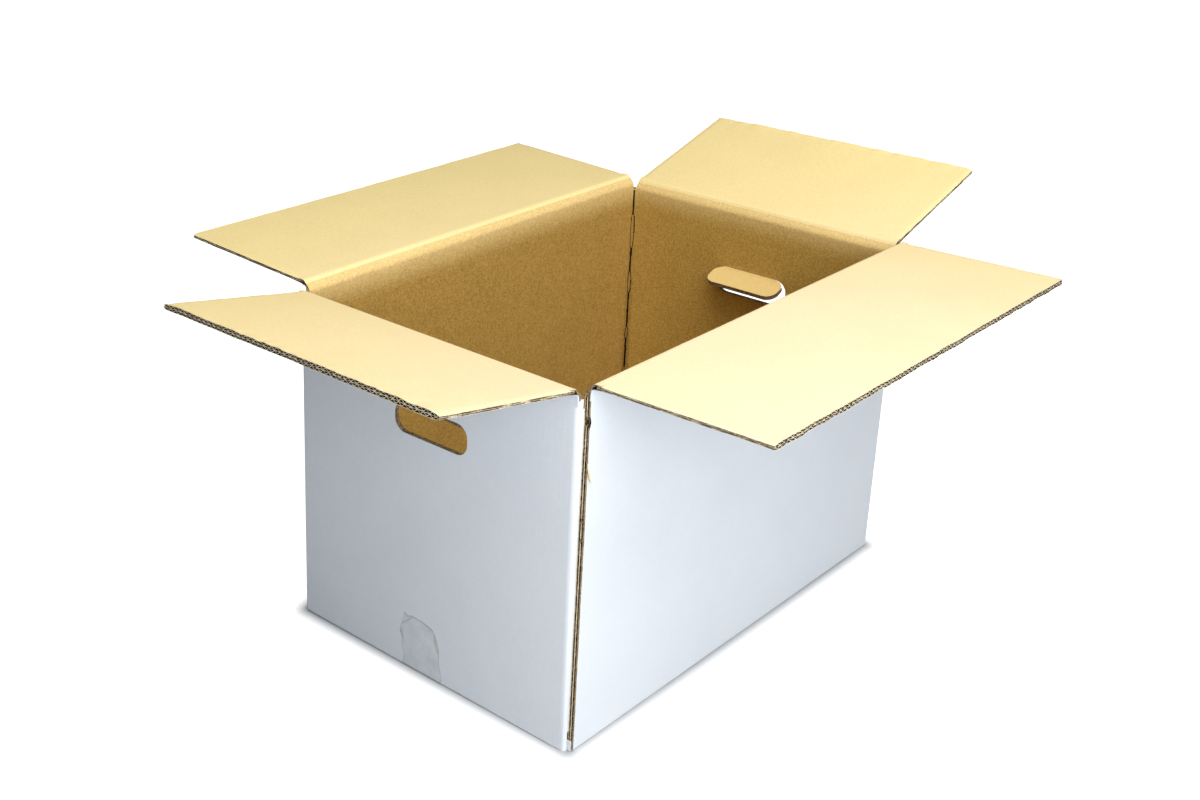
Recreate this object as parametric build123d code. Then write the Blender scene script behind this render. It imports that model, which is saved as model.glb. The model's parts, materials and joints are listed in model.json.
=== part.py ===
from build123d import *
import os

# Open moving box of double-wall corrugated board, in millimetres.
# The origin is the middle of the base, X runs along the long sides and Z points up.
# The long side with the maker's joint faces -Y, and the tape end that shows is on the -X side.

# Box, over its outside
box_length = 620.0
box_width = 400.0
box_height = 412.0

# Board
board = 6.0
liner = 0.5
medium = 0.45
flute_pitch = 7.5
flute_fill = 0.86
crushed_reach = 18.0

# Folds and slots
fold_radius = 4.0
base_fold_radius = 3.0
slot_half_width = 8.0
slot_overcut = 5.6
lap_gap = 0.4
fold_gap = 0.3
flap_seam = 1.0
short_flap_depth = 199.5

# Maker's joint at the -X -Y corner
joint_fold_radius = 7.0
raw_edge_setback = 8.0
glue_tab_width = 38.0
glue_tab_end_gap = 10.0
glue_tab_taper = 14.0

# Hand holes in the short sides
hand_hole_width = 104.0
hand_hole_height = 36.0
hand_hole_corner = 15.0
hand_hole_drop = 105.0
hand_hole_kerf = 0.4
hand_tab_tilt = 70.0

# Tape along the seam of the base
tape_width = 60.0
tape_film = 0.3
tape_side = 10.5
tape_turn_up = 70.0
tape_side_gap = 0.2

# How far each open flap is tilted up from level, in degrees
front_flap_tilt = 1.0
back_flap_tilt = 2.5
left_flap_tilt = 10.5
right_flap_tilt = 16.0

half_length = box_length / 2
half_width = box_width / 2
inner_half_length = half_length - board
inner_half_width = half_width - board
long_fold_z = box_height
short_fold_z = box_height - board - lap_gap
slot_floor_z = short_fold_z - slot_overcut
long_flap_span = box_length - 2 * slot_half_width
short_flap_span = box_width - 2 * slot_half_width
long_flap_depth = half_width - flap_seam / 2
hand_hole_z = box_height - hand_hole_drop
hand_fold_z = hand_hole_z + hand_hole_height / 2

# Each side of the box: turn about Z, distance of its face, length of its folds, height of its top fold
FRONT = (0, half_width, long_flap_span, long_fold_z)
BACK = (180, half_width, long_flap_span, long_fold_z)
LEFT = (-90, half_length, short_flap_span, short_fold_z)
RIGHT = (90, half_length, short_flap_span, short_fold_z)


def block(x0, x1, y0, y1, z0, z1):
    """A square-edged block between two corners."""
    size = Box(x1 - x0, y1 - y0, z1 - z0)
    return Pos((x0 + x1) / 2, (y0 + y1) / 2, (z0 + z1) / 2) * size


def bar(outline, span):
    """A section drawn as (outward, up) points, run along a fold and centred on it."""
    wire = Wire.make_polygon([(-span / 2, -out, up) for out, up in outline], close=True)
    return extrude(Face(wire), amount=span, dir=(1, 0, 0))


def at_side(side, height, piece):
    """Moves a piece from its own fold line to a fold line on one side of the box."""
    turn, reach, _, _ = side
    return Rot(0, 0, turn) * Pos(0, -reach, height) * piece


def corner_of(sketch, x, y):
    """The corner of a plan that lies nearest to a point."""
    return sketch.vertices().sort_by_distance((x, y, 0))[0]


def wall_plan():
    """Plan of the four walls: three folded corners, and the joint where the raw edge laps the fold."""
    plan = Rectangle(box_length, box_width)
    step = Rectangle(raw_edge_setback, board)
    plan -= Pos(raw_edge_setback / 2 - half_length, board / 2 - half_width) * step
    plan = fillet(corner_of(plan, -half_length, -inner_half_width), joint_fold_radius)
    folded = ((half_length, -half_width), (half_length, half_width), (-half_length, half_width))
    plan = fillet([corner_of(plan, x, y) for x, y in folded], fold_radius)
    return plan - Rectangle(2 * inner_half_length, 2 * inner_half_width)


def top_fold_cut(side):
    """What is taken off a wall above its top fold, down to a 45 degree crease on the inside."""
    rise = box_height - side[3] + board
    return at_side(side, side[3], bar([(0, 0), (-board, -board), (-board, rise), (0, rise)], side[2]))


def corner_slots():
    """The slots between neighbouring top flaps, cut a little deeper than the folds."""
    slots = []
    for sx in (-1, 1):
        for sy in (-1, 1):
            centre = Pos(sx * (half_length - slot_half_width / 2), sy * (half_width - slot_half_width / 2))
            cut_height = 2 * (box_height - slot_floor_z)
            slots.append(centre * Pos(0, 0, box_height) * Box(slot_half_width, slot_half_width, cut_height))
    return slots


def base_fold_cut(side):
    """What rounds the outside of a bottom fold."""
    length = 2 * max(half_length, half_width)
    radius = base_fold_radius
    square = Pos(0, radius / 2 - side[1], radius / 2) * Box(length, radius, radius)
    roll = Pos(0, radius - side[1], radius) * Rot(0, 90, 0) * Cylinder(radius, length)
    return Rot(0, 0, side[0]) * (square - roll)


def base_flaps():
    """The four bottom flaps: the short pair lies on the long pair, which meets along the middle."""
    half_span = long_flap_span / 2
    half_reach = short_flap_span / 2
    inner_z = board + lap_gap
    flaps = []
    for sy in (-1, 1):
        edges = sorted((sy * (half_width - base_fold_radius), sy * flap_seam / 2))
        flaps.append(block(-half_span, half_span, edges[0], edges[1], 0, board))
    for sx in (-1, 1):
        edges = sorted((sx * inner_half_length, sx * (half_length - short_flap_depth)))
        flaps.append(block(edges[0], edges[1], -half_reach, half_reach, inner_z, inner_z + board))
    return flaps


def glue_tab():
    """The tab folded on from the short side and glued inside the long one, narrower at both ends."""
    low = 2 * board + lap_gap + glue_tab_end_gap
    high = slot_floor_z - glue_tab_end_gap
    x_fold = -inner_half_length
    x_end = x_fold + glue_tab_width
    y_out = -inner_half_width
    outline = [(x_fold, y_out, low), (x_end, y_out, low + glue_tab_taper)]
    outline += [(x_end, y_out, high - glue_tab_taper), (x_fold, y_out, high)]
    return extrude(Face(Wire.make_polygon(outline, close=True)), amount=board, dir=(0, 1, 0))


def hand_shape(inset):
    """Outline of a hand hole, or of the tab cut out of it when inset by the knife's width."""
    width = hand_hole_width - 2 * inset
    height = hand_hole_height - 2 * inset
    return RectangleRounded(width, height, hand_hole_corner - inset)


def hand_holes():
    """One cut along X that opens the hand holes of both short sides."""
    return Pos(0, 0, hand_hole_z) * extrude(Plane.YZ * hand_shape(0), amount=box_length, both=True)


def tape_bed():
    """The shallow bed that the tape sinks into along the base, so the base stays flat."""
    half_bed = tape_width / 2 + tape_side_gap
    return block(-half_length, half_length, tape_side - half_bed, tape_side + half_bed, 0, tape_film)


def make_body():
    """The folded blank without its top flaps: walls, glue tab and closed base, all one board."""
    body = extrude(wall_plan(), amount=box_height)
    body += base_flaps()
    body += glue_tab()
    sides = (FRONT, BACK, LEFT, RIGHT)
    body -= corner_slots() + [top_fold_cut(side) for side in sides]
    body -= [base_fold_cut(side) for side in sides]
    return body - hand_holes() - tape_bed()


def flute_voids(span, depth):
    """The hollows between medium and liners at a flap's free edge, in both layers.

    Each hollow is a triangle at the edge and runs back to a point near the fold,
    where the creasing wheel has crushed the board flat.
    """
    layer = (board - 3 * liner) / 2
    half_base = flute_pitch / 2 - medium
    count = int((span - flute_pitch) // flute_pitch)
    # The two layers mirror each other about the middle liner.
    layers = ((liner + layer, -1), (liner + layer + liner, 1))
    voids = []
    for k in range(2 * count - 1):
        x = (k + 1 - count) * flute_pitch / 2
        for middle_face, away in layers:
            outer_face = middle_face + away * layer
            base_z, tip_z = (middle_face, outer_face) if k % 2 == 0 else (outer_face, middle_face)
            point_z = base_z + (tip_z - base_z) * flute_fill
            mouth = [(x - half_base, -depth, base_z), (x + half_base, -depth, base_z), (x, -depth, point_z)]
            far = (x, -crushed_reach, (2 * base_z + point_z) / 3)
            faces = [Face(Wire.make_polygon(mouth, close=True))]
            for i in range(3):
                faces.append(Face(Wire.make_polygon([mouth[i], mouth[(i + 1) % 3], far], close=True)))
            voids.append(Solid(Shell(faces)))
    return voids


def make_flap(side, depth, tilt):
    """A top flap on its fold: white liner below, creased at 45 degrees where it bends at the wall."""
    outline = [(fold_gap, 0), (depth, 0), (depth, board), (board + fold_gap, board)]
    flap = bar(outline, side[2]) - flute_voids(side[2], depth)
    return at_side(side, side[3], Rot(-tilt, 0, 0) * flap)


def make_hand_tab(side):
    """The tab cut on its ends and lower edge, pushed in and up on the fold along its top."""
    upright = Plane((0, 0, -hand_hole_height / 2), x_dir=(1, 0, 0), z_dir=(0, -1, 0))
    tab = extrude(upright * hand_shape(hand_hole_kerf), amount=board)
    turn, reach, _, _ = side
    return Rot(0, 0, turn) * Pos(0, board - reach, hand_fold_z) * Rot(hand_tab_tilt, 0, 0) * tab


def torn_end():
    """Outline (along Y, up) of the tape's torn end, from its left edge round to its right."""
    left = tape_side + tape_width / 2
    # Each corner is a share of the width in from the left edge and a share of the turn-up's height.
    corners = ((0, 0), (0, 0.62), (0.03, 0.76), (0.07, 1), (0.18, 0.95), (0.33, 0.99))
    corners += ((0.55, 0.98), (0.83, 0.93), (0.93, 0.83), (0.98, 0.68), (1, 0))
    return [(left - across * tape_width, up * tape_turn_up) for across, up in corners]


def make_tape():
    """The clear tape that closes the base, turned up a short way on both short sides."""
    left = tape_side + tape_width / 2
    right = tape_side - tape_width / 2
    out = half_length + tape_film
    tape = block(-out, out, right, left, 0, tape_film)
    torn = Face(Wire.make_polygon([(-half_length, y, z) for y, z in torn_end()], close=True))
    tape += extrude(torn, amount=tape_film, dir=(-1, 0, 0))
    tape += block(half_length, out, right, left, 0, tape_turn_up)
    return tape


pieces = {
    "box_body": make_body(),
    "front_flap": make_flap(FRONT, long_flap_depth, front_flap_tilt),
    "back_flap": make_flap(BACK, long_flap_depth, back_flap_tilt),
    "left_flap": make_flap(LEFT, short_flap_depth, left_flap_tilt),
    "right_flap": make_flap(RIGHT, short_flap_depth, right_flap_tilt),
    "left_hand_tab": make_hand_tab(LEFT),
    "right_hand_tab": make_hand_tab(RIGHT),
    "base_tape": make_tape(),
}

os.makedirs("parts", exist_ok=True)
for name, piece in pieces.items():
    export_step(piece, "parts/" + name + ".step")
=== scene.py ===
import json
from math import cos, exp, floor, pi, radians, sin

import bpy
from mathutils import Matrix, Vector, noise


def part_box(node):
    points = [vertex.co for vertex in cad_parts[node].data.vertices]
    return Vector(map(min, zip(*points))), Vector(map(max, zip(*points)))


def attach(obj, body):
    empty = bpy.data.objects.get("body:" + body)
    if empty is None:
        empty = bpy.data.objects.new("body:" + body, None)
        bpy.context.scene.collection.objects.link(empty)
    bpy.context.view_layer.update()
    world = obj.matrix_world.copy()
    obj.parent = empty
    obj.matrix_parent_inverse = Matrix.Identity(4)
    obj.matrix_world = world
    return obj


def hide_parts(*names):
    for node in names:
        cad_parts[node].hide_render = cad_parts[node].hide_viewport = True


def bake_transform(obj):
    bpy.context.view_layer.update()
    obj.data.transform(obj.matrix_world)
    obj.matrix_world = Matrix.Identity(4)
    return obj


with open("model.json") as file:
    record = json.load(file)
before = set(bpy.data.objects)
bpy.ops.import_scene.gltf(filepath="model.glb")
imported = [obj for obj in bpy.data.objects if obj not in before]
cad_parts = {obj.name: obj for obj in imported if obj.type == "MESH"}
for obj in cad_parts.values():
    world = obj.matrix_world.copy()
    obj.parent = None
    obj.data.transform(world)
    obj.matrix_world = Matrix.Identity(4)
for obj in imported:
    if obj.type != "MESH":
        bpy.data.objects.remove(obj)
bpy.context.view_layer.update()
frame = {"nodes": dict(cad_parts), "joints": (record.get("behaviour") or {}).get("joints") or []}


# Camera
# It stands in front of the corner with the maker's joint, a little above the box.
# The place and lens are metres and millimetres in the box's own frame.
bpy.ops.object.select_all(action="DESELECT")
camera_place = Vector((-1.4195, -1.0304, 1.0211))
camera_heading = radians(-45.864)
camera_height_angle = radians(19.922)
camera_roll = radians(0.386)
back = Vector((
    sin(camera_heading) * cos(camera_height_angle),
    -cos(camera_heading) * cos(camera_height_angle),
    sin(camera_height_angle),
))
bpy.ops.object.camera_add(location=camera_place)
camera = bpy.context.object
camera.rotation_euler = (-back).to_track_quat("-Z", "Y").to_euler()
camera.rotation_euler.rotate_axis("Z", camera_roll)
camera.data.sensor_width = 36.0
camera.data.lens = 47.48
camera.data.shift_x = 0.1667
camera.data.shift_y = -0.1
bpy.context.scene.camera = camera


# Floor and light
# A white floor in a white room, a wide soft light overhead and a softbox beside the camera,
# so both outer sides fade away from the near corner. Close to the box the floor's glow drops into a
# painted contact shadow.
body_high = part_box("box_body")[1]
under_wall = 0.006
foot_corner = (body_high.x - under_wall, body_high.y - under_wall, 0.0)
# Where the floor's camera-only glow fades from a painted contact shadow at the box's foot to even white.
shade_start, shade_end = -0.016, 0.04
glow_in_painted_shadow, glow_of_floor = -0.45, 1.05


def area_light(name, place, aim, width, power, colour):
    """A square softbox that points at a place."""
    bpy.ops.object.light_add(type="AREA", location=place)
    light = bpy.context.object
    light.name = name
    light.data.shape = "SQUARE"
    light.data.size = width
    light.data.energy = power
    light.data.color = colour
    light.visible_camera = False
    light.rotation_euler = (Vector(aim) - Vector(place)).to_track_quat("-Z", "Y").to_euler()


area_light("front_softbox", (-1.05, -1.6, 0.9), (-0.1, 0.0, 0.2), 1.3, 31.0, (0.95, 0.98, 1.0))
area_light("top_softbox", (-0.3, -0.75, 2.1), (0.0, 0.0, 0.3), 1.7, 46.5, (1.0, 0.98, 0.955))

world = bpy.data.worlds.new("Studio")
bpy.context.scene.world = world
world.use_nodes = True
nodes = world.node_tree.nodes
links = world.node_tree.links
room = nodes["Background"]
room.inputs["Color"].default_value = (0.84, 0.92, 1.0, 1.0)
room.inputs["Strength"].default_value = 0.14
backdrop = nodes.new("ShaderNodeBackground")
backdrop.inputs["Color"].default_value = (1.0, 1.0, 1.0, 1.0)
backdrop.inputs["Strength"].default_value = 1.3
seen = nodes.new("ShaderNodeLightPath")
pick = nodes.new("ShaderNodeMixShader")
links.new(seen.outputs["Is Camera Ray"], pick.inputs[0])
links.new(room.outputs[0], pick.inputs[1])
links.new(backdrop.outputs[0], pick.inputs[2])
links.new(pick.outputs[0], nodes["World Output"].inputs["Surface"])
bpy.context.scene.view_settings.view_transform = "Standard"


def new_material(name):
    """A material, with its tree, its shader and the Object coordinates that its patterns read."""
    material = bpy.data.materials.new(name)
    material.use_nodes = True
    tree = material.node_tree
    where = tree.nodes.new("ShaderNodeTexCoord").outputs["Object"]
    return material, tree, tree.nodes["Principled BSDF"], where


def vector_math(tree, operation, vector, other=(0.0, 0.0, 0.0)):
    """A Vector Math node on a socket and a fixed vector. Returns its vector, or a length as its number."""
    node = tree.nodes.new("ShaderNodeVectorMath")
    node.operation = operation
    tree.links.new(vector, node.inputs[0])
    node.inputs[1].default_value = other
    return node.outputs["Value" if operation == "LENGTH" else "Vector"]


bpy.ops.mesh.primitive_plane_add(size=30.0, location=(0, 0, 0))
ground = bpy.context.object
ground.name = "floor"
paint, floor_tree, shader, floor_spot = new_material("Pale floor")
shader.inputs["Base Color"].default_value = (0.55, 0.555, 0.56, 1.0)
shader.inputs["Roughness"].default_value = 0.9
shader.inputs["Specular IOR Level"].default_value = 0.0
shader.inputs["Emission Color"].default_value = (1.0, 1.0, 1.0, 1.0)
# Painted contact shadow: the glow is lowered by distance from the box's foot.
beyond = vector_math(floor_tree, "SUBTRACT", vector_math(floor_tree, "ABSOLUTE", floor_spot), foot_corner)
distance = vector_math(floor_tree, "LENGTH", vector_math(floor_tree, "MAXIMUM", beyond))
fade = floor_tree.nodes.new("ShaderNodeMapRange")
fade.interpolation_type = "SMOOTHERSTEP"
fade.inputs["From Min"].default_value = shade_start
fade.inputs["From Max"].default_value = shade_end
fade.inputs["To Min"].default_value = glow_in_painted_shadow
fade.inputs["To Max"].default_value = glow_of_floor
floor_tree.links.new(distance, fade.inputs["Value"])
floor_seen = floor_tree.nodes.new("ShaderNodeLightPath")
glow = floor_tree.nodes.new("ShaderNodeMath")
glow.operation = "MULTIPLY"
floor_tree.links.new(floor_seen.outputs["Is Camera Ray"], glow.inputs[0])
floor_tree.links.new(fade.outputs["Result"], glow.inputs[1])
floor_tree.links.new(glow.outputs[0], shader.inputs["Emission Strength"])
ground.data.materials.append(paint)


# Box walls and bottom flaps
# One blank of double-wall corrugated board, bleached white outside and brown kraft inside.
# It is folded on scored lines, and its bottom flaps are closed, the long pair outside.
MILLIMETRE = 0.001
flute_pitch = 7.5 * MILLIMETRE
grain_height = 0.06 * MILLIMETRE


def new_group(name, inputs, outputs):
    """An empty shader group with float sockets, and one vector socket where the input's value is None."""
    group = bpy.data.node_groups.new(name, "ShaderNodeTree")
    for label, value in inputs.items():
        kind = "NodeSocketVector" if value is None else "NodeSocketFloat"
        socket = group.interface.new_socket(label, in_out="INPUT", socket_type=kind)
        if value is not None:
            socket.default_value = value
    for label in outputs:
        group.interface.new_socket(label, in_out="OUTPUT", socket_type="NodeSocketFloat")
    return group, group.nodes.new("NodeGroupInput"), group.nodes.new("NodeGroupOutput")


def math_node(tree, operation, a, b=None):
    """A Math node whose inputs are numbers or sockets. Returns its output."""
    node = tree.nodes.new("ShaderNodeMath")
    node.operation = operation
    for slot, value in enumerate((a, b)):
        if value is None:
            continue
        if isinstance(value, (int, float)):
            node.inputs[slot].default_value = value
        else:
            tree.links.new(value, node.inputs[slot])
    return node.outputs[0]


def noise_node(tree, vector, scale, detail, roughness=0.5, stretch=(1.0, 1.0, 1.0)):
    """A noise texture on a vector that is first stretched. Returns its value."""
    mapping = tree.nodes.new("ShaderNodeMapping")
    mapping.inputs["Scale"].default_value = stretch
    tree.links.new(vector, mapping.inputs["Vector"])
    texture = tree.nodes.new("ShaderNodeTexNoise")
    texture.inputs["Scale"].default_value = scale
    texture.inputs["Detail"].default_value = detail
    texture.inputs["Roughness"].default_value = roughness
    tree.links.new(mapping.outputs[0], texture.inputs["Vector"])
    return texture.outputs["Fac"]


def weighted(tree, terms):
    """One half plus the sum of (value - one half) * weight, clamped."""
    total = None
    for value, weight in terms:
        part = math_node(tree, "MULTIPLY", math_node(tree, "SUBTRACT", value, 0.5), weight)
        total = part if total is None else math_node(tree, "ADD", total, part)
    result = math_node(tree, "ADD", total, 0.5)
    result.node.use_clamp = True
    return result


grain, grain_in, grain_out = new_group(
    "Paper grain",
    {"Vector": None, "Speck": 1.0, "Fibre": 1.0, "Cloud": 1.0},
    ("Tone", "Height"),
)
point = grain_in.outputs["Vector"]
speck = noise_node(grain, point, 440.0, 3.0, 0.7)
fibre = noise_node(grain, point, 260.0, 4.0, 0.65, (1.0, 1.0, 0.45))
cloud = noise_node(grain, point, 11.0, 3.0, 0.6)
grain.links.new(
    weighted(grain, (
        (speck, grain_in.outputs["Speck"]),
        (fibre, grain_in.outputs["Fibre"]),
        (cloud, grain_in.outputs["Cloud"]),
    )),
    grain_out.inputs["Tone"],
)
grain.links.new(weighted(grain, ((speck, 0.7), (fibre, 0.6))), grain_out.inputs["Height"])

ribs, ribs_in, ribs_out = new_group("Flute lines", {"Vector": None, "Along": 0.0}, ("Height",))
wander = noise_node(ribs, ribs_in.outputs["Vector"], 9.0, 2.0)
turns = math_node(ribs, "MULTIPLY", ribs_in.outputs["Along"], 2 * pi / flute_pitch)
turns = math_node(ribs, "ADD", turns, math_node(ribs, "MULTIPLY", wander, 5.0))
wave = math_node(ribs, "MULTIPLY", math_node(ribs, "COSINE", turns), 0.5)
uneven = noise_node(ribs, ribs_in.outputs["Vector"], 24.0, 2.0)
wave = math_node(ribs, "MULTIPLY", wave, uneven)
ribs.links.new(math_node(ribs, "ADD", wave, 0.5), ribs_out.inputs["Height"])


def colour_mix(tree, factor, dark, light):
    """A colour between two colours or sockets."""
    node = tree.nodes.new("ShaderNodeMix")
    node.data_type = "RGBA"
    tree.links.new(factor, node.inputs["Factor"])
    # A Mix node has a set of sockets for each kind of data, and these are the ones for colours.
    first_colour, second_colour, mixed_colour = 6, 7, 2
    for slot, colour in ((first_colour, dark), (second_colour, light)):
        if isinstance(colour, tuple):
            node.inputs[slot].default_value = (*colour, 1.0)
        else:
            tree.links.new(colour, node.inputs[slot])
    return node.outputs[mixed_colour]


def bump_node(tree, height, distance, strength, under=None):
    """A bump from a height socket, laid over another bump if there is one. Returns its normal."""
    node = tree.nodes.new("ShaderNodeBump")
    node.inputs["Distance"].default_value = distance
    node.inputs["Strength"].default_value = strength
    tree.links.new(height, node.inputs["Height"])
    if under is not None:
        tree.links.new(under, node.inputs["Normal"])
    return node.outputs[0]


def paper(name, dark, light, along, amounts, rib_height, roughness, specular):
    """A liner paper: grain in its colour and surface, and the flutes showing faintly through it."""
    material, tree, shader, where = new_material(name)
    texture = tree.nodes.new("ShaderNodeGroup")
    texture.node_tree = grain
    tree.links.new(where, texture.inputs["Vector"])
    for label, amount in zip(("Speck", "Fibre", "Cloud"), amounts):
        texture.inputs[label].default_value = amount
    colour = colour_mix(tree, texture.outputs["Tone"], dark, light)
    tree.links.new(colour, shader.inputs["Base Color"])
    shader.inputs["Roughness"].default_value = roughness
    shader.inputs["Specular IOR Level"].default_value = specular
    grain_bump = bump_node(tree, texture.outputs["Height"], grain_height, 0.5)
    split = tree.nodes.new("ShaderNodeSeparateXYZ")
    tree.links.new(where, split.inputs[0])
    lines = tree.nodes.new("ShaderNodeGroup")
    lines.node_tree = ribs
    tree.links.new(where, lines.inputs["Vector"])
    tree.links.new(split.outputs[along], lines.inputs["Along"])
    rib_bump = bump_node(tree, lines.outputs["Height"], rib_height, 1.0, grain_bump)
    tree.links.new(rib_bump, shader.inputs["Normal"])
    return material


white_dark, white_light = (0.66, 0.69, 0.735), (0.825, 0.85, 0.885)
kraft_dark, kraft_light = (0.66, 0.50, 0.20), (0.965, 0.80, 0.40)
painted_light_band_dark, painted_light_band_light = (0.52, 0.36, 0.13), (0.86, 0.64, 0.28)
painted_highlight_dark, painted_highlight_light = (0.73, 0.58, 0.37), (0.955, 0.805, 0.585)
# The inner walls' kraft is the same paper as the flaps' kraft side, painted much darker as painted shade
# inside the box, and darker on the long walls than on the short ones.
lining_tones_in_painted_shade = {
    "X": ((0.205, 0.110, 0.017), (0.565, 0.350, 0.086)),
    "Y": ((0.250, 0.136, 0.020), (0.650, 0.415, 0.098)),
}
# Amounts of speck, fibre and cloud, then finishes: height of the flute lines, roughness and gloss.
white_amounts, kraft_amounts, lining_amounts = (0.5, 0.3, 0.4), (0.5, 0.4, 0.22), (1.8, 0.3, 0.2)
white_finish, kraft_finish = (0.09 * MILLIMETRE, 0.55, 0.35), (0.05 * MILLIMETRE, 0.72, 0.3)
white = {
    along: paper("White liner, flutes along " + along, white_dark, white_light, along,
                 white_amounts, *white_finish)
    for along in ("X", "Y")
}
kraft = {
    along: paper("Kraft liner, flutes along " + along, kraft_dark, kraft_light, along,
                 kraft_amounts, *kraft_finish)
    for along in ("X", "Y")
}
lining_in_painted_shade = {
    along: paper("Kraft of the inner walls, flutes along " + along, *lining_tones_in_painted_shade[along], along,
                 lining_amounts, *kraft_finish)
    for along in ("X", "Y")
}


def mix_in_painted_light(material, dark, light, place, axes, reach, most):
    """Mixes a painted lit copy of the same paper in, by how near a point is to a place along these axes.
    """
    tree = material.node_tree
    shader = tree.nodes["Principled BSDF"]
    where = next(node for node in tree.nodes if node.bl_idname == "ShaderNodeTexCoord")
    groups = [node for node in tree.nodes if node.bl_idname == "ShaderNodeGroup"]
    texture = next(node for node in groups if node.node_tree == grain)
    offset = vector_math(tree, "SUBTRACT", where.outputs["Object"], place)
    distance = vector_math(tree, "LENGTH", vector_math(tree, "MULTIPLY", offset, axes))
    near, far = reach
    fade = tree.nodes.new("ShaderNodeMapRange")
    fade.interpolation_type = "SMOOTHSTEP"
    fade.inputs["From Min"].default_value = far
    fade.inputs["From Max"].default_value = near
    fade.inputs["To Max"].default_value = most
    tree.links.new(distance, fade.inputs["Value"])
    plain = shader.inputs["Base Color"].links[0].from_socket
    other = colour_mix(tree, texture.outputs["Tone"], dark, light)
    mixed = colour_mix(tree, fade.outputs["Result"], plain, other)
    tree.links.new(mixed, shader.inputs["Base Color"])


# The inner walls' kraft is painted lighter towards each top fold, as painted light from above, and the
# flaps' kraft is painted paler towards the near corner, as a painted highlight.
top_fold = (0.0, 0.0, body_high.z + 1.5 * MILLIMETRE)
painted_light_band_reach = (0.0, 0.043)
# Painted highlight: the flaps' kraft turns towards a paler copy near this point, over this reach and by
# this share.
painted_highlight_centre = (-0.2, -0.45, 0.42)
painted_highlight_reach, painted_highlight_share = (0.1, 0.85), 0.8
upwards, all_round = (0.0, 0.0, 1.0), (1.0, 1.0, 1.0)
for material in lining_in_painted_shade.values():
    mix_in_painted_light(material, painted_light_band_dark, painted_light_band_light, top_fold, upwards, painted_light_band_reach, 1.0)
for material in kraft.values():
    mix_in_painted_light(material, painted_highlight_dark, painted_highlight_light, painted_highlight_centre, all_round, painted_highlight_reach, painted_highlight_share)


def cut_board(name, dark, light):
    """Crushed layers at a cut through the board: brown streaks of paper, and the hollows painted darker as
    painted shade.
    """
    material, tree, shader, where = new_material(name)
    hollows = noise_node(tree, where, 420.0, 2.0, 0.5)
    streaks = noise_node(tree, where, 900.0, 3.0, 0.6, (1.0, 1.0, 0.12))
    tone = weighted(tree, ((hollows, 1.6), (streaks, 1.4)))
    tree.links.new(colour_mix(tree, tone, dark, light), shader.inputs["Base Color"])
    shader.inputs["Roughness"].default_value = 0.9
    shader.inputs["Specular IOR Level"].default_value = 0.1
    tree.links.new(bump_node(tree, tone, 0.4 * MILLIMETRE, 1.0), shader.inputs["Normal"])
    return material


# Its near-black end is painted shade in the hollows of the cut; the brown is the crushed paper.
cut_edge_with_painted_shade = cut_board("Cut edge of the board with painted shade in its hollows", (0.045, 0.028, 0.012), (0.42, 0.31, 0.18))


def deselect_all():
    """Leaves nothing selected and no object active in edit mode."""
    if bpy.context.object and bpy.context.object.mode != "OBJECT":
        bpy.ops.object.mode_set(mode="OBJECT")
    bpy.ops.object.select_all(action="DESELECT")


def work_on(piece):
    """Makes one piece the only selected and active one."""
    deselect_all()
    piece.select_set(True)
    bpy.context.view_layer.objects.active = piece


def copy_of_node(node, name):
    """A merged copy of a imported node's mesh, as an object of its own."""
    piece = bpy.data.objects.new(name, frame["nodes"][node].data.copy())
    bpy.context.scene.collection.objects.link(piece)
    piece.data.materials.clear()
    work_on(piece)
    bpy.ops.object.mode_set(mode="EDIT")
    bpy.ops.mesh.select_all(action="SELECT")
    bpy.ops.mesh.remove_doubles(threshold=0.002 * MILLIMETRE)
    bpy.ops.mesh.dissolve_limited(angle_limit=radians(0.2))
    bpy.ops.object.mode_set(mode="OBJECT")
    return piece


board = 6.0 * MILLIMETRE
hair = 0.3 * MILLIMETRE
outer_skin = hair + 0.6 * board
lap_depth = 1.2 * board
raw_edge_x = -body_high.x + 8 * MILLIMETRE
raw_edge_shift = 1.5 * MILLIMETRE
hole_half_width = 53 * MILLIMETRE
hole_low, hole_high = 288.5 * MILLIMETRE, 326.5 * MILLIMETRE
walls = copy_of_node("box_body", "box_walls")
for material in (white["X"], white["Y"], lining_in_painted_shade["X"], lining_in_painted_shade["Y"], cut_edge_with_painted_shade):
    walls.data.materials.append(material)
WHITE_LONG, WHITE_SHORT, KRAFT_LONG, KRAFT_SHORT, CUT = range(5)
# How far a face's normal points up or down, from 0 on a wall to 1 on the base.
sloping, lying_flat = 0.4, 0.9


def wall_material(centre, normal):
    """Which paper a face of the folded blank shows, by where it lies and where it points."""
    level = abs(normal.z)
    short = abs(normal.x) > abs(normal.y)
    outside = (
        abs(centre.x) > body_high.x - outer_skin
        and centre.x * normal.x > 0
        or abs(centre.y) > body_high.y - outer_skin
        and centre.y * normal.y > 0
    )
    lap = centre.y < lap_depth - body_high.y and centre.x < raw_edge_x + MILLIMETRE
    in_hole = abs(centre.y) < hole_half_width and hole_low < centre.z < hole_high
    if in_hole and abs(normal.x) < 0.3:
        return CUT
    if lap and level < sloping:
        return CUT if short and centre.x > raw_edge_x - 0.5 * MILLIMETRE else WHITE_SHORT
    if centre.z < board / 2 and normal.z < -0.05:
        return WHITE_LONG
    if level > lying_flat:
        on_base = centre.z < 3 * board and normal.z > 0
        return KRAFT_SHORT if on_base else CUT
    if level > sloping:
        return CUT
    if outside:
        return WHITE_SHORT if short else WHITE_LONG
    return KRAFT_SHORT if short else KRAFT_LONG


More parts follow.
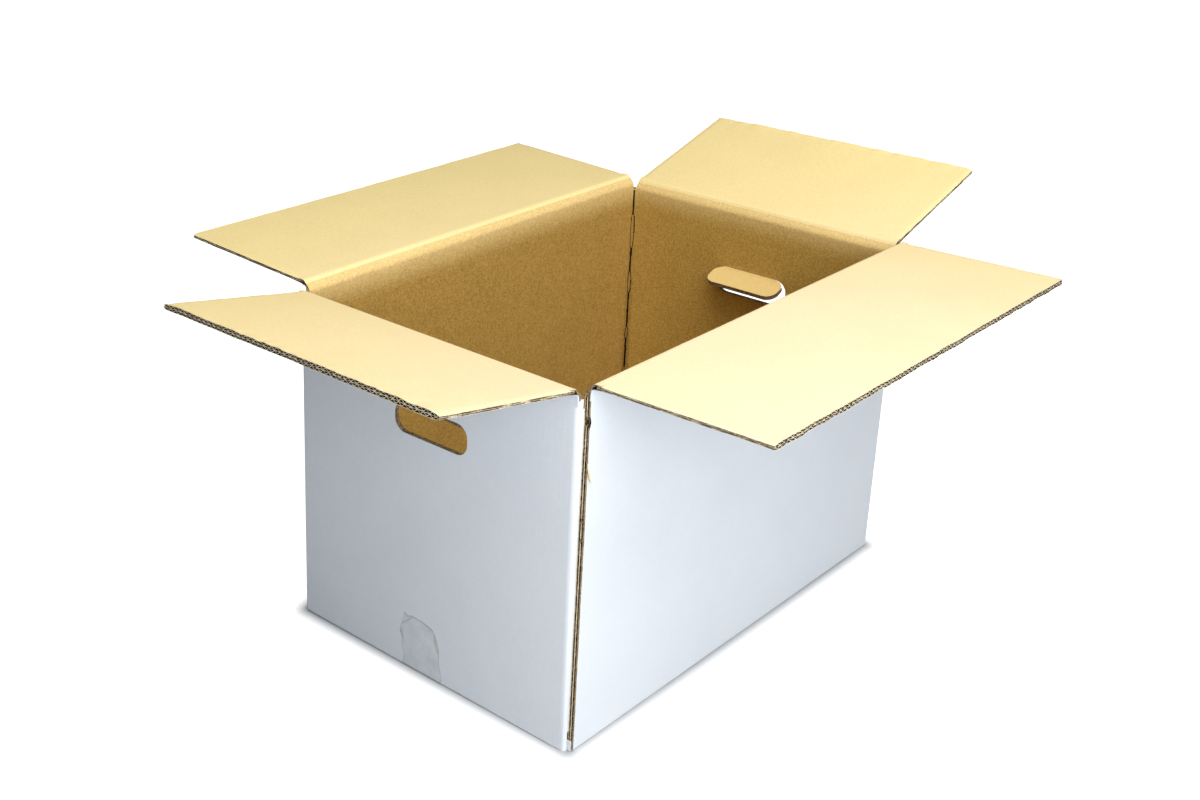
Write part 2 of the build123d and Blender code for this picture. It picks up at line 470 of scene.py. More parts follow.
for face in walls.data.polygons:
    face.material_index = wall_material(face.center, face.normal)
for vertex in walls.data.vertices:
    on_raw_edge = abs(vertex.co.x - raw_edge_x) < 0.2 * MILLIMETRE
    if on_raw_edge and vertex.co.y < -body_high.y + board + 0.2 * MILLIMETRE:
        vertex.co.x += raw_edge_shift
work_on(walls)
bpy.ops.object.shade_smooth_by_angle(angle=radians(40))
bpy.ops.object.modifier_add(type="WEIGHTED_NORMAL")
walls.modifiers[-1].keep_sharp = True
bpy.ops.object.modifier_apply(modifier=walls.modifiers[-1].name)
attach(walls, "box")
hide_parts("box_body")


# Top flaps
# Each flap is the same double-wall board: three flat liners with two fluted sheets between them.
# The flutes run out to the free edge, where the slitting knife leaves them open, and the knives
# at the two short edges pinch the layers together.
liner = 0.45 * MILLIMETRE
medium = 0.55 * MILLIMETRE
flute_lean = 0.1
flute_steps = 10
liner_step = 2.6 * MILLIMETRE
liner_rows = 14
medium_rows = 4
row_bunching = 1.8
mitre = board + hair
pinch_reach = 3.5 * MILLIMETRE
pinch_share = 0.38
edge_reach = 14 * MILLIMETRE
ragged = 0.35 * MILLIMETRE


def fold_frame(node, joint_name):
    """The fold of a flap: its matrix, with X along the fold, -Y outwards and Z through the board."""
    joint = next(j for j in frame["joints"] if j["name"] == joint_name)
    origin = Vector(joint["pos_m"])
    level_faces = [face for face in frame["nodes"][node].data.polygons if face.normal.z > 0.5]
    up = max(level_faces, key=lambda face: face.area).normal.normalized()
    along = Vector(joint["axis"]).normalized()
    out = along.cross(up)
    if out.dot(origin) < 0:
        out = -out
    along = up.cross(out)
    place = Matrix((along, -out, up)).transposed().to_4x4()
    place.translation = origin
    local = [place.inverted() @ v.co for v in frame["nodes"][node].data.vertices]
    span = max(p.x for p in local) - min(p.x for p in local)
    depth = -min(p.y for p in local)
    return place, span, depth


def hump(distance, reach):
    """A smooth rise that is 1 at no distance and has died away a few reaches from there."""
    return exp(-((distance / reach) ** 2))


def grid(name, columns, rows):
    """A flat grid one unit square, with its rows running outwards from the fold."""
    deselect_all()
    bpy.ops.mesh.primitive_grid_add(x_subdivisions=columns, y_subdivisions=rows, size=1.0)
    piece = bpy.context.object
    piece.name = name
    return piece


def thicken(piece, thickness):
    """Gives a sheet its thickness, half to each side."""
    work_on(piece)
    bpy.ops.object.modifier_add(type="SOLIDIFY")
    solid = piece.modifiers[-1]
    solid.thickness = thickness
    solid.offset = 0.0
    bpy.ops.object.modifier_apply(modifier=solid.name)


def flute_wave(turn, split):
    """Height of a flute from 0 to 1: its crest is at whole turns and one side is steeper."""
    part = turn - floor(turn)
    phase = part / split / 2 if part < split else 1 - (1 - part) / (1 - split) / 2
    return 0.5 + 0.5 * cos(2 * pi * phase)


def sheet_of_board(name, span, start, depth, rows, columns, height_at, thickness):
    """One paper of the board, flat or fluted, from its start near the fold to the free edge."""
    piece = grid(name, columns, rows)
    for vertex in piece.data.vertices:
        across = vertex.co.x * span
        share = 0.5 - vertex.co.y
        outwards = start + (depth - start) * (1 - (1 - share) ** row_bunching)
        vertex.co = (across, -outwards, height_at(across))
    thicken(piece, thickness)
    return piece


def join(pieces, name):
    """Joins pieces into the first of them."""
    deselect_all()
    for piece in pieces:
        piece.select_set(True)
    bpy.context.view_layer.objects.active = pieces[0]
    bpy.ops.object.join()
    pieces[0].name = name
    pieces[0].data.name = name
    return pieces[0]


def wear_flap(piece, span, depth, seed, bow):
    """Pinches the short edges, frays the free edge and bows the flap a little.

    The wear goes to the side that is clear of the other flaps when the box is closed.
    """
    middle = board / 2
    rim = 2 * MILLIMETRE
    away = 1 if bow > 0 else -1
    steady = 0 if bow > 0 else board
    for vertex in piece.data.vertices:
        x, y, z = vertex.co
        edge = span / 2 - abs(x)
        tuck = noise.noise((y * 55, seed, x * 3)) * 0.5 + 0.5
        pinch = 1 - pinch_share * (0.5 + tuck) * hump(edge, pinch_reach)
        # The pinch stops at the mitre, so that the outer liner clears the walls when the box is closed.
        z = min(middle + (z - middle) * pinch, max(z, -y - hair))
        layer = round(z / board * 5)
        if depth + y < rim:
            y += ragged * noise.noise((x * 260, layer * 3.7 + seed, 0.5))
            y += 1.5 * ragged * (noise.noise((x * 45, seed, 4.5)) + 0.3)
        if edge < rim:
            x -= (1 if x > 0 else -1) * ragged * (1 + noise.noise((y * 150, layer * 2.3, seed)))
        tired = exp(-(depth + y) / edge_reach)
        z = steady + (z - steady) * (1 + tired * (0.1 + 0.16 * noise.noise((x * 90, seed, 8.5))))
        z += away * 1.1 * ragged * tired * (0.5 + noise.noise((x * 40, seed, 2.5)))
        z += bow * (1 - (2 * x / span) ** 2) * (y / depth) ** 2
        vertex.co = (x, min(y, 0), z)


def paint_sheet(piece, skin, side):
    """Gives a sheet its skin on the side that shows, painted shade of the hollows on the other and a cut
    rim.
    """
    for material in (skin, painted_flute_shade, fluting):
        piece.data.materials.append(material)
    for face in piece.data.polygons:
        if abs(face.normal.y) > 0.9 or abs(face.normal.x) > 0.9:
            face.material_index = 2
        elif face.normal.z * side < 0:
            face.material_index = 1


def crushed_side(name, span, depth, side, seed):
    """The layers at one short edge, which the knife cut along the flutes and crushed."""
    ribbon = grid(name, 12, 110)
    for vertex in ribbon.data.vertices:
        across = vertex.co.x + 0.5
        y = -mitre - (depth - mitre - 0.5 * MILLIMETRE) * (0.5 - vertex.co.y)
        layer = abs(2 * across - round(2 * across)) * 2
        torn = noise.noise((y * 90, across * 4, seed)) + 0.5 * noise.noise((y * 300, across * 9, seed))
        dent = 0.3 + layer * (0.7 + 0.8 * torn)
        z = 0.3 * MILLIMETRE + (board - 0.6 * MILLIMETRE) * across
        vertex.co = (side * (span / 2 - dent * MILLIMETRE), y, z)
    thicken(ribbon, 0.25 * MILLIMETRE)
    for material in (painted_flute_shade, cut_edge_with_painted_shade, fluting):
        ribbon.data.materials.append(material)
    for face in ribbon.data.polygons:
        _, y, z = face.center
        tone = noise.noise((y * 70, z * 700, seed)) + 0.3 * noise.noise((y * 400, z * 900, seed))
        face.material_index = 0 if tone < -0.22 else 1 if tone < 0.16 else 2
    return ribbon


def make_flap(node, joint_name, along, bow, seed):
    """A top flap of real layers in place of its plain solid."""
    place, span, depth = fold_frame(node, joint_name)
    columns = round(span / liner_step)
    flute_columns = round(span / flute_pitch * flute_steps)
    layer = (board - 3 * liner) / 2
    rise = layer - medium
    low = liner + medium / 2
    high = board - low

    def lower(x):
        return low + rise * flute_wave(x / flute_pitch, 0.5 + flute_lean)

    def upper(x):
        return high - rise * flute_wave(x / flute_pitch, 0.5 - flute_lean)

    skirt = 0.6 * MILLIMETRE
    papers = []
    for label, start, height, skin, side in (
        ("outer", hair + liner, liner / 2, white[along], -1),
        ("middle", mitre, board / 2, painted_flute_shade, 1),
        ("inner", mitre, board - liner / 2, kraft[along], 1),
    ):
        sheet = sheet_of_board(node + "_" + label, span, start, depth, liner_rows, columns,
                               lambda x, h=height: h, liner)
        paint_sheet(sheet, skin, side)
        papers.append(sheet)
    for label, height_at in (("low_flutes", lower), ("high_flutes", upper)):
        sheet = sheet_of_board(node + "_" + label, span - 2 * skirt, mitre, depth - skirt / 2,
                               medium_rows, flute_columns, height_at, medium)
        paint_sheet(sheet, painted_flute_shade, 1)
        papers.append(sheet)
    for side in (-1, 1):
        papers.append(crushed_side(node + "_side", span, depth, side, seed + side))
    flap = join(papers, node + "_board")
    wear_flap(flap, span, depth, seed, bow)
    flap.data.transform(place)
    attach(flap, node)
    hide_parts(node)


# Inside the board, the middle liner, the flutes and the hidden sides of the liners are painted near-black
# as painted shade of the hollows.
fluting = cut_board("Cut rims of the papers", (0.50, 0.39, 0.24), (0.95, 0.84, 0.62))
painted_flute_shade = cut_board("Painted shade inside the flutes", (0.006, 0.004, 0.002), (0.03, 0.018, 0.009))
# Each flap's node and joint, the axis that its flutes follow each other along, its bow and its seed.
flap_list = (
    ("front_flap", "front_flap_fold", "X", -0.6 * MILLIMETRE, 1.0),
    ("back_flap", "back_flap_fold", "X", -0.8 * MILLIMETRE, 2.0),
    ("left_flap", "left_flap_fold", "Y", 0.5 * MILLIMETRE, 3.0),
    ("right_flap", "right_flap_fold", "Y", 0.5 * MILLIMETRE, 4.0),
)
for details in flap_list:
    make_flap(*details)


# Scored folds of the top flaps
# The creasing wheel has crushed the board along each fold, and the papers run on through it.
# The kraft side rolls over as a soft bead with a thin crease, painted darker as painted shade, and the
# white side wraps under it.
fold_step = 5.0 * MILLIMETRE
fold_trim = 0.4 * MILLIMETRE
bead_reach = 4 * MILLIMETRE
painted_crease_shade_point = (0.4, 2.58)
painted_crease_shade_reach = 0.42 * MILLIMETRE
# The profiles are millimetres out and up from the fold line: the bead from wall to flap,
# the seat under it from flap to wall, and the white wrap from wall to flap.
bead_points = (
    (-6.02, -17.0), (-6.05, -13.0), (-6.09, -10.0), (-6.13, -8.0), (-6.14, -6.5), (-5.8, -4.6),
    (-4.8, -2.8), (-3.5, -1.1), (-2.1, 0.5), (-0.9, 1.7), (0.1, 2.5), (0.7, 2.65), (1.2, 3.1), (1.9, 4.1),
    (3.0, 5.2), (4.4, 5.85), (6.2, 6.08), (9.0, 6.06), (12.5, 6.01),
)
seat_points = (
    (12.4, 5.7), (6.6, 5.4), (4.5, 4.0), (2.2, 1.8), (0.3, 0.35), (-1.8, -2.0), (-4.0, -4.3),
    (-5.9, -6.6), (-5.95, -12.0), (-5.9, -16.9),
)
wrap_points = (
    (0.02, -13.0), (0.1, -9.0), (0.2, -6.0), (0.4, -3.6), (0.8, -1.9), (1.5, -0.95),
    (2.8, -0.45), (4.5, -0.22), (6.2, -0.1), (7.6, -0.02),
)
wrap_skin = 0.3 * MILLIMETRE


def fold_profile(points, tilt):
    """Points (out, up) in millimetres from the fold line, those past it turned with the flap."""
    placed = []
    for out, up in points:
        if out > 0 and up > -0.5 or out > 1.5:
            turned = (out * cos(tilt) - up * sin(tilt), out * sin(tilt) + up * cos(tilt))
        else:
            turned = (out, up)
        placed.append((turned[0] * MILLIMETRE, turned[1] * MILLIMETRE))
    return placed


def upright(place):
    """The same frame as a fold's, with Z straight up, and the angle between the two."""
    out = -place.col[1].to_3d()
    level = Vector((out.x, out.y, 0)).normalized()
    along = Vector((0, 0, 1)).cross(level)
    frame_up = Matrix((along, -level, Vector((0, 0, 1)))).transposed().to_4x4()
    frame_up.translation = place.translation
    return frame_up, level.angle(out) * (1 if out.z > 0 else -1)


def fold_strip(name, span, points, closed):
    """A strip with this profile, run along a fold. A closed profile gets both ends filled."""
    ring = points + points[:1] if closed else points
    rows = len(ring) - 1
    piece = grid(name, round(span / fold_step), rows)
    for vertex in piece.data.vertices:
        out, up = ring[round((0.5 - vertex.co.y) * rows)]
        x = vertex.co.x * span
        vertex.co = (x, -out, up)
    work_on(piece)
    bpy.ops.object.mode_set(mode="EDIT")
    bpy.ops.mesh.select_all(action="SELECT")
    if closed:
        bpy.ops.mesh.remove_doubles(threshold=0.01 * MILLIMETRE)
        bpy.ops.mesh.select_all(action="DESELECT")
        bpy.ops.mesh.select_mode(type="EDGE")
        bpy.ops.mesh.select_non_manifold()
        bpy.ops.mesh.fill_holes(sides=0)
        bpy.ops.mesh.select_all(action="SELECT")
    bpy.ops.mesh.normals_make_consistent(inside=False)
    bpy.ops.object.mode_set(mode="OBJECT")
    return piece


def make_fold(node, joint_name, along, seed):
    """The crushed board of one fold, bending between the box and the flap."""
    place, span, _ = fold_frame(node, joint_name)
    level, tilt = upright(place)
    bead = fold_profile(bead_points, tilt)
    seat = fold_profile(seat_points, tilt)
    roll = fold_strip(node + "_crease", span - fold_trim, bead + seat, True)
    for material in (kraft[along], cut_edge_with_painted_shade, lining_in_painted_shade[along]):
        roll.data.materials.append(material)
    for vertex in roll.data.vertices:
        x, y, z = vertex.co
        swell = 0.35 * MILLIMETRE * noise.noise((x * 22, seed, 3.3))
        middle = hump(y, bead_reach) * hump(z - MILLIMETRE, bead_reach)
        vertex.co = (x, y, z + swell * middle)
    # A narrow band at the crease gets the darker inner-wall kraft, as painted shade in the crease.
    crease_out, crease_up = fold_profile((painted_crease_shade_point,), tilt)[0]
    for face in roll.data.polygons:
        hidden = face.normal.z < -0.2 and face.normal.y > -0.99
        from_crease = Vector((face.center.y + crease_out, face.center.z - crease_up))
        in_painted_crease_shade = from_crease.length < painted_crease_shade_reach
        if abs(face.normal.x) > 0.9 or hidden:
            face.material_index = 1
        elif face.center.y > 0 or in_painted_crease_shade:
            face.material_index = 2
    wrap = fold_strip(node + "_wrap", span - fold_trim, fold_profile(wrap_points, tilt), False)
    thicken(wrap, wrap_skin)
    wrap.data.materials.append(white[along])
    for strip, slot in ((roll, "kraft_board"), (wrap, "white_board")):
        work_on(strip)
        bpy.ops.object.shade_smooth_by_angle(angle=radians(40))
        strip.data.transform(level)
    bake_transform(roll)
    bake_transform(wrap)


for node, joint_name, along, _, seed in flap_list:
    make_fold(node, joint_name, along, seed)


# Hand hole tabs
# Each tab is the board punched out of its hand hole on three sides and pushed in and up.
# Its kraft side now faces up, and its knife-cut rim shows the crushed layers.
tab_corner = 14.6 * MILLIMETRE
# The tabs' kraft is painted darker than the flaps' kraft, as painted shade inside the box.
tab_kraft_in_painted_shade = paper("Kraft of the hand hole tabs in painted shade", (0.55, 0.38, 0.13), (0.86, 0.64, 0.26), "Y",
                  kraft_amounts, *kraft_finish)
tab_segments = 10
tab_step = 5.2 * MILLIMETRE
tab_droop = 0.18
crease_width = 78 * MILLIMETRE


def make_tab(node, joint_name):
    """The plain board of a hand hole tab, lying flat, and where it belongs on its fold."""
    low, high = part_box(node)
    joint = next(j for j in frame["joints"] if j["name"] == joint_name)
    hinge = Vector(joint["pos_m"])
    inward = -1 if hinge.x > 0 else 1
    width = high.y - low.y
    faces = frame["nodes"][node].data.polygons
    top = max((f for f in faces if f.normal.z > 0.2), key=lambda f: f.area).normal
    down = Vector((inward * top.z, 0, -inward * top.x))
    reach = max((v.co - hinge).dot(down) for v in frame["nodes"][node].data.vertices)
    deselect_all()
    bpy.ops.mesh.primitive_plane_add(size=1.0)
    tab = bpy.context.object
    tab.name = node + "_board"
    bpy.ops.object.mode_set(mode="EDIT")
    bpy.ops.transform.resize(value=(width, reach - 0.3 * MILLIMETRE, 1.0))
    bpy.ops.mesh.bevel(offset=tab_corner, segments=tab_segments, affect="VERTICES")
    bpy.ops.mesh.extrude_region_move(TRANSFORM_OT_translate={"value": (0, 0, -board)})
    bpy.ops.mesh.select_all(action="SELECT")
    bpy.ops.mesh.normals_make_consistent(inside=False)
    bpy.ops.object.mode_set(mode="OBJECT")
    return tab, hinge, down, top, reach


def lay_tab(node, joint_name, seed):
    """A hand hole tab with its crushed rim, laid on its fold in place of its plain solid."""
    tab, hinge, down, top, reach = make_tab(node, joint_name)
    work_on(tab)
    bpy.ops.object.mode_set(mode="EDIT")
    for share in (liner / board, 0.42, 0.5, 0.58, 1 - liner / board):
        bpy.ops.mesh.select_all(action="SELECT")
        bpy.ops.mesh.bisect(plane_co=(0, 0, -share * board), plane_no=(0, 0, 1))
    for step in range(-9, 10):
        bpy.ops.mesh.select_all(action="SELECT")
        bpy.ops.mesh.bisect(plane_co=(step * tab_step, 0, 0), plane_no=(1, 0, 0))
    bpy.ops.object.mode_set(mode="OBJECT")
    for vertex in tab.data.vertices:
        x, y, z = vertex.co
        deep = min(-z, board + z) / MILLIMETRE
        torn = 0.6 + noise.noise((x * 160, y * 160, z * 900))
        tuck = 0.7 * MILLIMETRE * min(1, deep) * torn
        shrink = 1 - tuck / max(0.02, Vector((x, y)).length)
        fray = 0.25 * MILLIMETRE * noise.noise((x * 240, y * 240, z * 500 + seed))
        vertex.co = (x * shrink + fray, y * shrink + fray, z - tab_droop * x * x)
    for material in (tab_kraft_in_painted_shade, white["Y"], cut_edge_with_painted_shade):
        tab.data.materials.append(material)
    for face in tab.data.polygons:
        flat = abs(face.normal.z) > 0.7
        face.material_index = (0 if face.normal.z > 0 else 1) if flat else 2
    side = top.cross(down)
    place = Matrix((side, -down, top)).transposed().to_4x4()
    place.translation = hinge + down * (reach / 2 + 0.15 * MILLIMETRE)
    tab.data.transform(place)
    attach(tab, node)
    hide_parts(node)
    lay_tab_crease(node, hinge, down, top)


def lay_tab_crease(node, hinge, down, top):
    """The crushed paper that still holds the tab, with a crease painted dark as painted shade and a torn
    upper rim.
    """
    inward = Vector((down.x, 0, 0)).normalized()
    up = Vector((0, 0, 1))
    profile = [inward * a + up * b for a, b in ((0.12, 4.2), (0.3, 2.8), (0.55, 1.5), (0.75, 0.8))]
    profile += [down * a + top * b for a, b in ((1.0, 0.42), (2.2, 0.2), (3.4, 0.06))]
    crease = grid(node + "_crease", 40, len(profile) - 1)
    for vertex in crease.data.vertices:
        row = round((0.5 - vertex.co.y) * (len(profile) - 1))
        y = vertex.co.x * crease_width
        arch = (1 - (2 * vertex.co.x) ** 2) * 2.5 + 0.5 * noise.noise((y * 120, hinge.x, 0.0))
        lift = up * arch if row == 0 else up * arch * 0.4 if row == 1 else Vector((0, 0, 0))
        vertex.co = hinge + (profile[row] + lift) * MILLIMETRE + Vector((0, y, 0))
    thicken(crease, 0.2 * MILLIMETRE)
    for material in (lining_in_painted_shade["Y"], cut_edge_with_painted_shade, tab_kraft_in_painted_shade):
        crease.data.materials.append(material)
    for face in crease.data.polygons:
        out = (face.center - hinge).dot(down)
        high = face.center.z - hinge.z
        rim = abs(face.normal.z) > 0.8 and high > 2 * MILLIMETRE
        # The crease band gets the dark cut-edge paper, as painted shade in the crease.
        fold = 0.9 * MILLIMETRE < high < 1.6 * MILLIMETRE and out < 1 * MILLIMETRE
        face.material_index = 1 if rim or fold else 2 if out > 0.5 * MILLIMETRE else 0
    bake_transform(crease)


lay_tab("left_hand_tab", "left_hand_tab_fold", 5.0)
lay_tab("right_hand_tab", "right_hand_tab_fold", 6.0)


# Maker's joint
# The long side's raw edge is glued over the tab that folds in from the short side.
# Its three liners stand a little proud of the crushed flutes, whose furrows are painted near-black as
# painted shade, and a sliver of paper has torn loose.
bulge_height, bulge_reach = 376 * MILLIMETRE, 5 * MILLIMETRE
edge_inside, edge_width = 6.1, 6.25


def joint_ridge(share):
    """How far a point across the raw edge is on one of the three liners, from 0 to 1."""
    return max(hump(share - centre, 0.07) for centre in (0.08, 0.5, 0.92))


def make_raw_edge(low, high):
    """The raw edge as a strip of ridges and furrows, tucked back at both sides."""
    edge = grid("joint_edge", 18, 400)
    for vertex in edge.data.vertices:
        share = vertex.co.x + 0.5
        z = low + (high - low) * (vertex.co.y + 0.5)
        ridge = joint_ridge(share)
        torn = noise.noise((share * 5, z * 240, 1.5)) + 0.6 * noise.noise((share * 9, z * 700, 2.5))
        sway = 0.35 * noise.noise((z * 26, 4.0, 0.5)) + 0.2 * noise.noise((z * 110, 9.0, 0.5))
        bulge = 1.3 * hump(z - bulge_height, bulge_reach)
        depth = 0.25 * ridge - 1.1 * (1 - ridge) * (0.6 + 0.5 * torn) + 0.22 * torn
        if share < 0.01 or share > 0.99:
            depth = -1.8
        x = raw_edge_x - (0.25 + depth + sway * (1 - share)) * MILLIMETRE
        y = -body_high.y + (edge_inside - edge_width * share - (sway + bulge) * share * 0.8) * MILLIMETRE
        vertex.co = (x + bulge * share * MILLIMETRE * 0.5, y, z)
    for material in (fluting, cut_edge_with_painted_shade, painted_flute_shade):
        edge.data.materials.append(material)
    for face in edge.data.polygons:
        share = (edge_inside - (body_high.y + face.center.y) / MILLIMETRE) / edge_width
        ridge = joint_ridge(share)
        # Furrows get painted shade, and the outer side of the strip the darker cut-edge paper, as a
        # painted shadow under the white liner's edge.
        furrow_in_painted_shade = ridge < 0.25 and noise.noise((share * 7, face.center.z * 300, 6.5)) < 0.22
        face.material_index = 2 if furrow_in_painted_shade else 1 if ridge < 0.7 or share > 0.8 else 0
    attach(edge, "box")


def paper_scrap(name, points, width, skins):
    """A narrow torn piece of paper that runs through these points, given with its width at each."""
    scrap = grid(name, 4, len(points) - 1)
    for vertex in scrap.data.vertices:
        row = round((0.5 - vertex.co.y) * (len(points) - 1))
        wide = width[row] * vertex.co.x + 0.15 * noise.noise((row * 1.7, vertex.co.x * 3, 2.0))
        x, y, z = points[row]
        vertex.co = ((x + wide * 0.9) * MILLIMETRE, y * MILLIMETRE, (z + wide * 0.35) * MILLIMETRE)
    thicken(scrap, 0.3 * MILLIMETRE)
    for skin in skins:
        scrap.data.materials.append(skin)
    for face in scrap.data.polygons:
        face.material_index = 0 if face.normal.y < -0.35 else 1
    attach(scrap, "box")


make_raw_edge(1.5 * MILLIMETRE, 405.0 * MILLIMETRE)
paper_scrap(
    "torn_sliver",
    ((-301.6, -200.2, 333.0), (-300.9, -200.5, 328.5), (-300.1, -200.9, 324.5), (-299.0, -201.3, 320.5),
     (-297.9, -201.5, 316.5), (-296.6, -201.6, 313.0), (-295.2, -201.5, 310.3)),
    (0.5, 1.5, 2.3, 2.9, 2.9, 2.2, 0.5),
    (kraft["X"], cut_edge_with_painted_shade),
)
paper_scrap(
    "torn_notch_liner",
    ((-302.6, -199.0, 399.8), (-301.0, -199.9, 402.2), (-298.6, -200.2, 404.2), (-295.8, -200.0, 405.4),
     (-293.4, -199.6, 406.8)),
    (1.6, 2.8, 3.0, 2.6, 1.2),
    (fluting, cut_edge_with_painted_shade),
)


def board_scrap(name, low, high, skin):
    """A small torn block of board with worn corners."""
    deselect_all()
    middle = (Vector(low) + Vector(high)) / 2 * MILLIMETRE
    bpy.ops.mesh.primitive_cube_add(size=1.0)
    scrap = bpy.context.object
    scrap.name = name
    bpy.ops.object.mode_set(mode="EDIT")
    bpy.ops.transform.resize(value=(Vector(high) - Vector(low)) * MILLIMETRE)
    bpy.ops.mesh.subdivide(number_cuts=5)
    bpy.ops.object.mode_set(mode="OBJECT")
    for vertex in scrap.data.vertices:
        place = vertex.co + middle
        shift = Vector([noise.noise(place * 320 + Vector((k, 0, 0))) for k in (0.0, 5.0, 9.0)])
        vertex.co = place + shift * 0.3 * MILLIMETRE
    scrap.data.materials.append(skin)
    scrap.data.materials.append(cut_edge_with_painted_shade)
    for face in scrap.data.polygons:
        face.material_index = 1 if abs(face.normal.z) > 0.5 else 0
    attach(scrap, "box")


board_scrap("notch_left", (-308.6, -192.6, 398.5), (-304.5, -192.0, 403.6), cut_edge_with_painted_shade)
board_scrap("notch_right", (-302.9, -199.6, 403.5), (-301.9, -194.4, 408.6), cut_edge_with_painted_shade)
board_scrap("joint_foot", (-303.4, -198.0, 0.6), (-300.0, -193.2, 13.2), white["Y"])


# Tape along the base
# One strip of clear tape closes the bottom flaps and turns up on both short sides.
# Its end on the near side was torn off, one corner of it has folded over, and it has lifted in spots.
tape_low, tape_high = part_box("base_tape")
tape_width = tape_high.y - tape_low.y
tape_rise = tape_high.z
film = 0.3 * MILLIMETRE
# The torn end is given as shares of the tape's width and of its height, and each long edge
# as heights and how far it wanders there, both in millimetres.
torn_top = (
    (0, 0.62), (0.03, 0.76), (0.045, 0.93), (0.07, 1), (0.11, 0.965), (0.18, 0.95), (0.26, 0.985),
    (0.33, 0.99), (0.45, 0.975), (0.55, 0.98), (0.7, 0.95), (0.83, 0.93), (0.89, 0.885),
    (0.93, 0.83), (0.965, 0.75), (0.98, 0.68), (1, 0.6),
)
left_edge = ((0, 0), (5, -3.5), (14, -4.5), (22, -1.7), (36, -1.5), (43, 2.1), (52, 1.5), (70, -2.0))
right_edge = ((0, 0), (6, -2.6), (12, -1.5), (26, 1.9), (44, 1.8), (57, 3.1), (70, 3.1))


def between(points, at):
    """The value at a place on a line through these points."""
    for (x0, value0), (x1, value1) in zip(points, points[1:]):
        if at <= x1:
            return value0 + (value1 - value0) * (at - x0) / (x1 - x0)
    return points[-1][1]


def from_fold(share, tall):
    """How far a point is above the line where the torn corner folds over, as a share of the height."""
    return tall - 0.72 - 0.8 * share


def tape_film():
    """The film as one sheet: torn end, base and far end."""
    columns, up_rows, base_rows = 60, 60, 30
    rows = up_rows * 2 + base_rows
    sheet = grid("tape_film", columns, rows)
    corner = tape_high.x - film / 2
    for vertex in sheet.data.vertices:
        share = 0.5 - vertex.co.x
        row = (0.5 - vertex.co.y) * rows
        y = tape_high.y - share * tape_width
        if row <= up_rows:
            top = between(torn_top, share) + 0.008 * noise.noise((share * 60, 3.0, 0.0))
            z = film / 2 + (top * tape_rise - film / 2) * (1 - row / up_rows)
            tall = z / tape_rise
            x = -corner
            left = between(left_edge, z / MILLIMETRE)
            right = between(right_edge, z / MILLIMETRE)
            y += (left * (1 - share) + right * share) * MILLIMETRE
            y += 0.3 * noise.noise((z * 300, share * 2, 1.0)) * MILLIMETRE
            ridge = hump(share - 0.93 + 0.1 * tall, 0.03) * max(0, tall - 0.35)
            fold = hump(from_fold(share, tall), 0.025) * (share < 0.34)
            lift = 0.8 * max(0, noise.noise((share * 4, tall * 5, 7.0))) * tall
            x -= (0.55 * ridge + 0.4 * fold + 0.35 * lift + 0.1 * tall) * MILLIMETRE
        elif row <= up_rows + base_rows:
            x = -corner + 2 * corner * (row - up_rows) / base_rows
            z = film / 2
        else:
            x = corner
            z = film / 2 + (tape_rise - film) * (row - up_rows - base_rows) / up_rows
        vertex.co = (x, y, z)
    thicken(sheet, film * 0.94)
    bpy.ops.object.shade_smooth_by_angle(angle=radians(40))
    return sheet


def tape_material(name, colour, opacity):
    """Clear film over white board: it darkens the board a little, more where the glue has let go."""
    material, tree, shader, where = new_material(name)
    blots = noise_node(tree, where, 55.0, 3.0, 0.55)
    streaks = noise_node(tree, where, 300.0, 3.0, 0.6, (1.0, 0.25, 1.0))
    tone = weighted(tree, ((blots, 1.8), (streaks, 0.4)))
    shader.inputs["Base Color"].default_value = (*colour, 1.0)
    shader.inputs["Roughness"].default_value = 0.38
    shader.inputs["Specular IOR Level"].default_value = 0.45
    thin = math_node(tree, "ADD", math_node(tree, "MULTIPLY", tone, 0.08), opacity)
    tree.links.new(thin, shader.inputs["Alpha"])
    tree.links.new(bump_node(tree, streaks, 0.15 * MILLIMETRE, 0.6), shader.inputs["Normal"])
    return material


tape = tape_film()
tape.data.materials.append(tape_material("Clear tape", (0.49, 0.47, 0.43), 0.008))
tape.data.materials.append(tape_material("Edges and wrinkles of the tape", (0.34, 0.31, 0.25), 0.09))
for face in tape.data.polygons:
    height = face.center.z / MILLIMETRE
    left = tape_high.y + between(left_edge, height) * MILLIMETRE
    right = tape_low.y + between(right_edge, height) * MILLIMETRE
    share = (left - face.center.y) / (left - right)
    tall = face.center.z / tape_rise
    if face.center.x < 0 and abs(face.normal.x) > 0.3:
        rim = between(torn_top, max(0, min(1, share))) - tall < 0.035
        side = min(share, 1 - share) < 0.022
        crease = abs(from_fold(share, tall)) < 0.02 and share < 0.33
        doubled = share > 1 - 0.12 * min(1, tall * 5 - 2.3)
        if rim or side or crease or doubled:
            face.material_index = 1
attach(tape, "box")
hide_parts("base_tape")


# Far inner corner
# The two inner papers have pulled away from each other along this fold.
# A line of painted shade runs down it, and opens in four places where the paper of the fold shows.
inner_x = body_high.x - board
inner_y = body_high.y - board
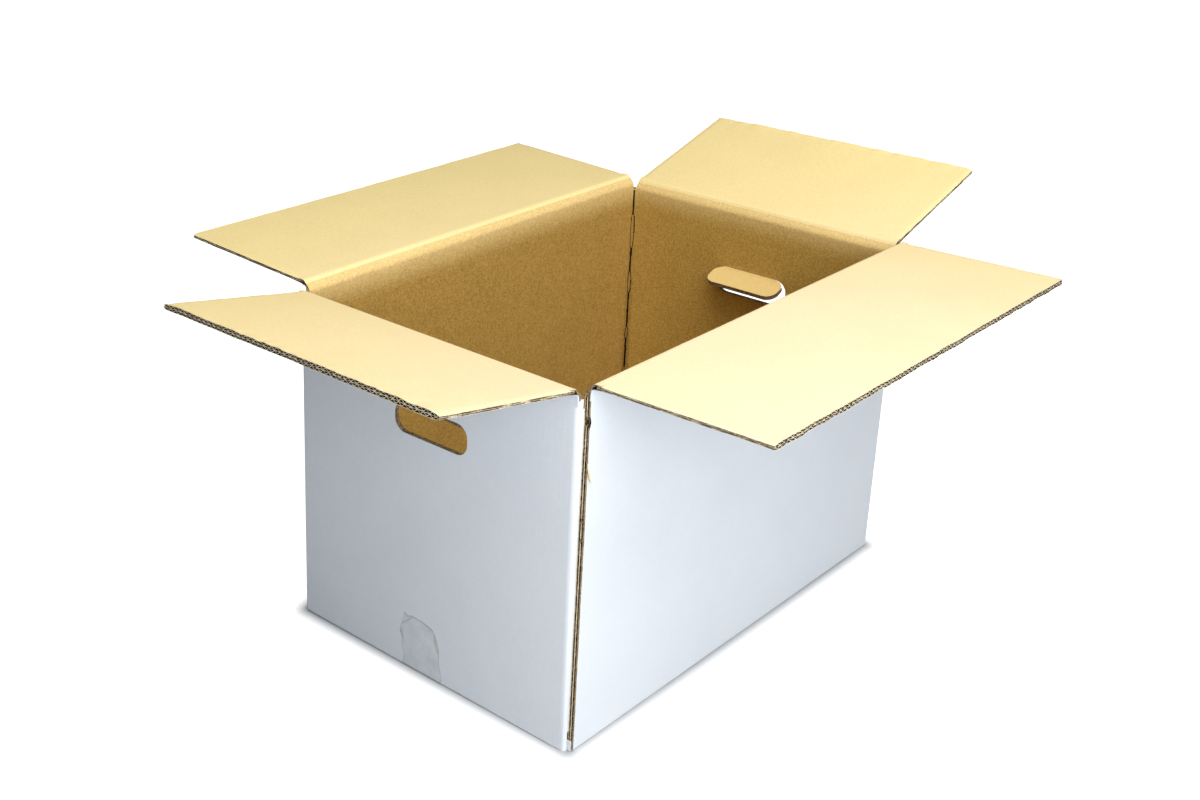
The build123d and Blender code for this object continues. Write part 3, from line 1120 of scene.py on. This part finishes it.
# Each opening has its middle and half its height in metres, and half its width in millimetres.
openings = ((0.339, 0.026, 2.3), (0.2635, 0.0165, 2.0), (0.187, 0.009, 1.7), (0.126, 0.009, 1.7))
corner_columns = 8
# How far each column of the strip lies from the fold, from its edges to its middle, in millimetres.
corner_marks = (7.0, 2.6, 1.5, 0.8, 0.0)


def opening_width(z):
    """Half the width of the opening at a height, in millimetres."""
    return max(w * max(0, 1 - ((z - middle) / reach) ** 2) ** 0.5 for middle, reach, w in openings)


def make_corner_line(low, high):
    """A strip in the corner: paper, groove in painted shade, paper of the fold, groove in painted shade,
    paper.
    """
    strip = grid("corner_line", corner_columns, 220)
    for vertex in strip.data.vertices:
        column = round((vertex.co.x + 0.5) * corner_columns)
        rank = min(column, corner_columns - column)
        z = low + (high - low) * (vertex.co.y + 0.5)
        wide = opening_width(z) + 0.25 * noise.noise((z * 80, 1.0, 0.0))
        mark = corner_marks[rank]
        along = mark + (wide if 0 < mark < 7 else 0)
        lift = (0.06, 0.55, 0.2, 0.2 + 0.35 * min(1, wide), 0.2)[rank]
        sway = 0.5 * noise.noise((z * 30, 2.0, 0.0))
        if column < corner_columns / 2:
            vertex.co = (inner_x - (along + sway) * MILLIMETRE, inner_y - lift * MILLIMETRE, z)
        elif column > corner_columns / 2:
            vertex.co = (inner_x - lift * MILLIMETRE, inner_y - (along - sway) * MILLIMETRE, z)
        else:
            vertex.co = (inner_x - 0.7 * MILLIMETRE, inner_y - 0.7 * MILLIMETRE, z)
    for material in (lining_in_painted_shade["X"], lining_in_painted_shade["Y"], painted_flute_shade):
        strip.data.materials.append(material)
    for face in strip.data.polygons:
        across = abs(face.center.x - inner_x) + abs(face.center.y - inner_y)
        wide = opening_width(face.center.z) * MILLIMETRE
        near = across < wide + 2.4 * MILLIMETRE
        light = across < wide + 0.9 * MILLIMETRE and wide > 0.6 * MILLIMETRE
        on_long = face.center.x < inner_x - (inner_y - face.center.y)
        # Faces in the grooves get painted shade, the rest the inner walls' kraft.
        face.material_index = 2 if near and not light else 0 if on_long else 1
    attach(strip, "box")


make_corner_line(14 * MILLIMETRE, 398 * MILLIMETRE)
